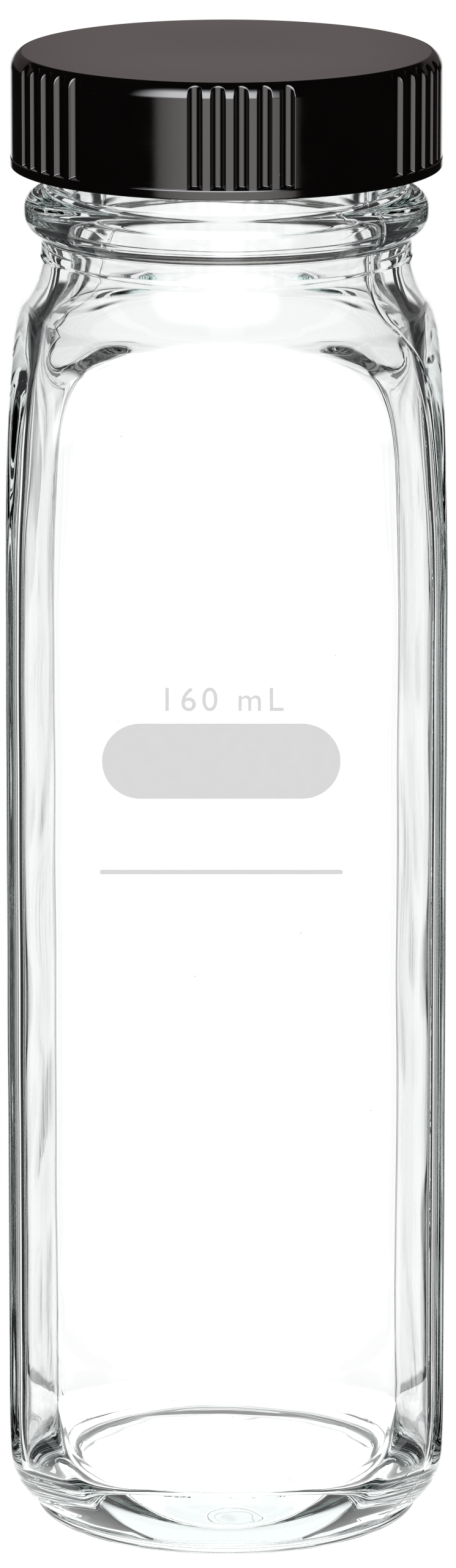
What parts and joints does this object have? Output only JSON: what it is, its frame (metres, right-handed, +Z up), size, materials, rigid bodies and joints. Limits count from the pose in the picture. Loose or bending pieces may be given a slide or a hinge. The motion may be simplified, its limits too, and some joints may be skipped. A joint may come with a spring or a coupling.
{
  "type": "screw-capped square glass jar",
  "caption": "Tall square clear-glass sample jar with a round neck, bead ring, fluted black screw cap, sealing liner and enamel write-on marks.",
  "frame": {"origin": "centre of the foot, on the surface that the jar stands on", "axes": "+Z up the jar to the cap; -Y is the front face with the marks; +X is to the right of the front"},
  "size_m": [0.0428, 0.0429, 0.147],
  "materials": {
    "clear_glass": "clear moulded borosilicate glass, polished, slightly wavy",
    "black_phenolic": "glossy black moulded phenolic with fine dust and handling marks",
    "white_rubber": "smooth white rubber",
    "grey_enamel": "thin light grey fired enamel, satin"
  },
  "bodies": {
    "bottle": {"glass_bottle": "clear_glass", "marking_spot": "grey_enamel", "graduation_line": "grey_enamel"},
    "liner": {"cap_liner": "white_rubber"},
    "cap": {"screw_cap": "black_phenolic"}
  },
  "joints": [
    {"name": "cap_rise", "type": "slide", "parent": "bottle", "child": "liner", "axis": [0, 0, 1], "range_m": [0, 0.0128]},
    {"name": "cap_turn", "type": "hinge", "parent": "liner", "child": "cap", "pos_m": [0, 0, 0.1405], "axis": [0, 0, 1], "range_deg": [0, 1080]}
  ],
  "couplings": [
    {"joint": "cap_rise", "follows": "cap_turn", "m_per_rad": 0.00067375}
  ]
}
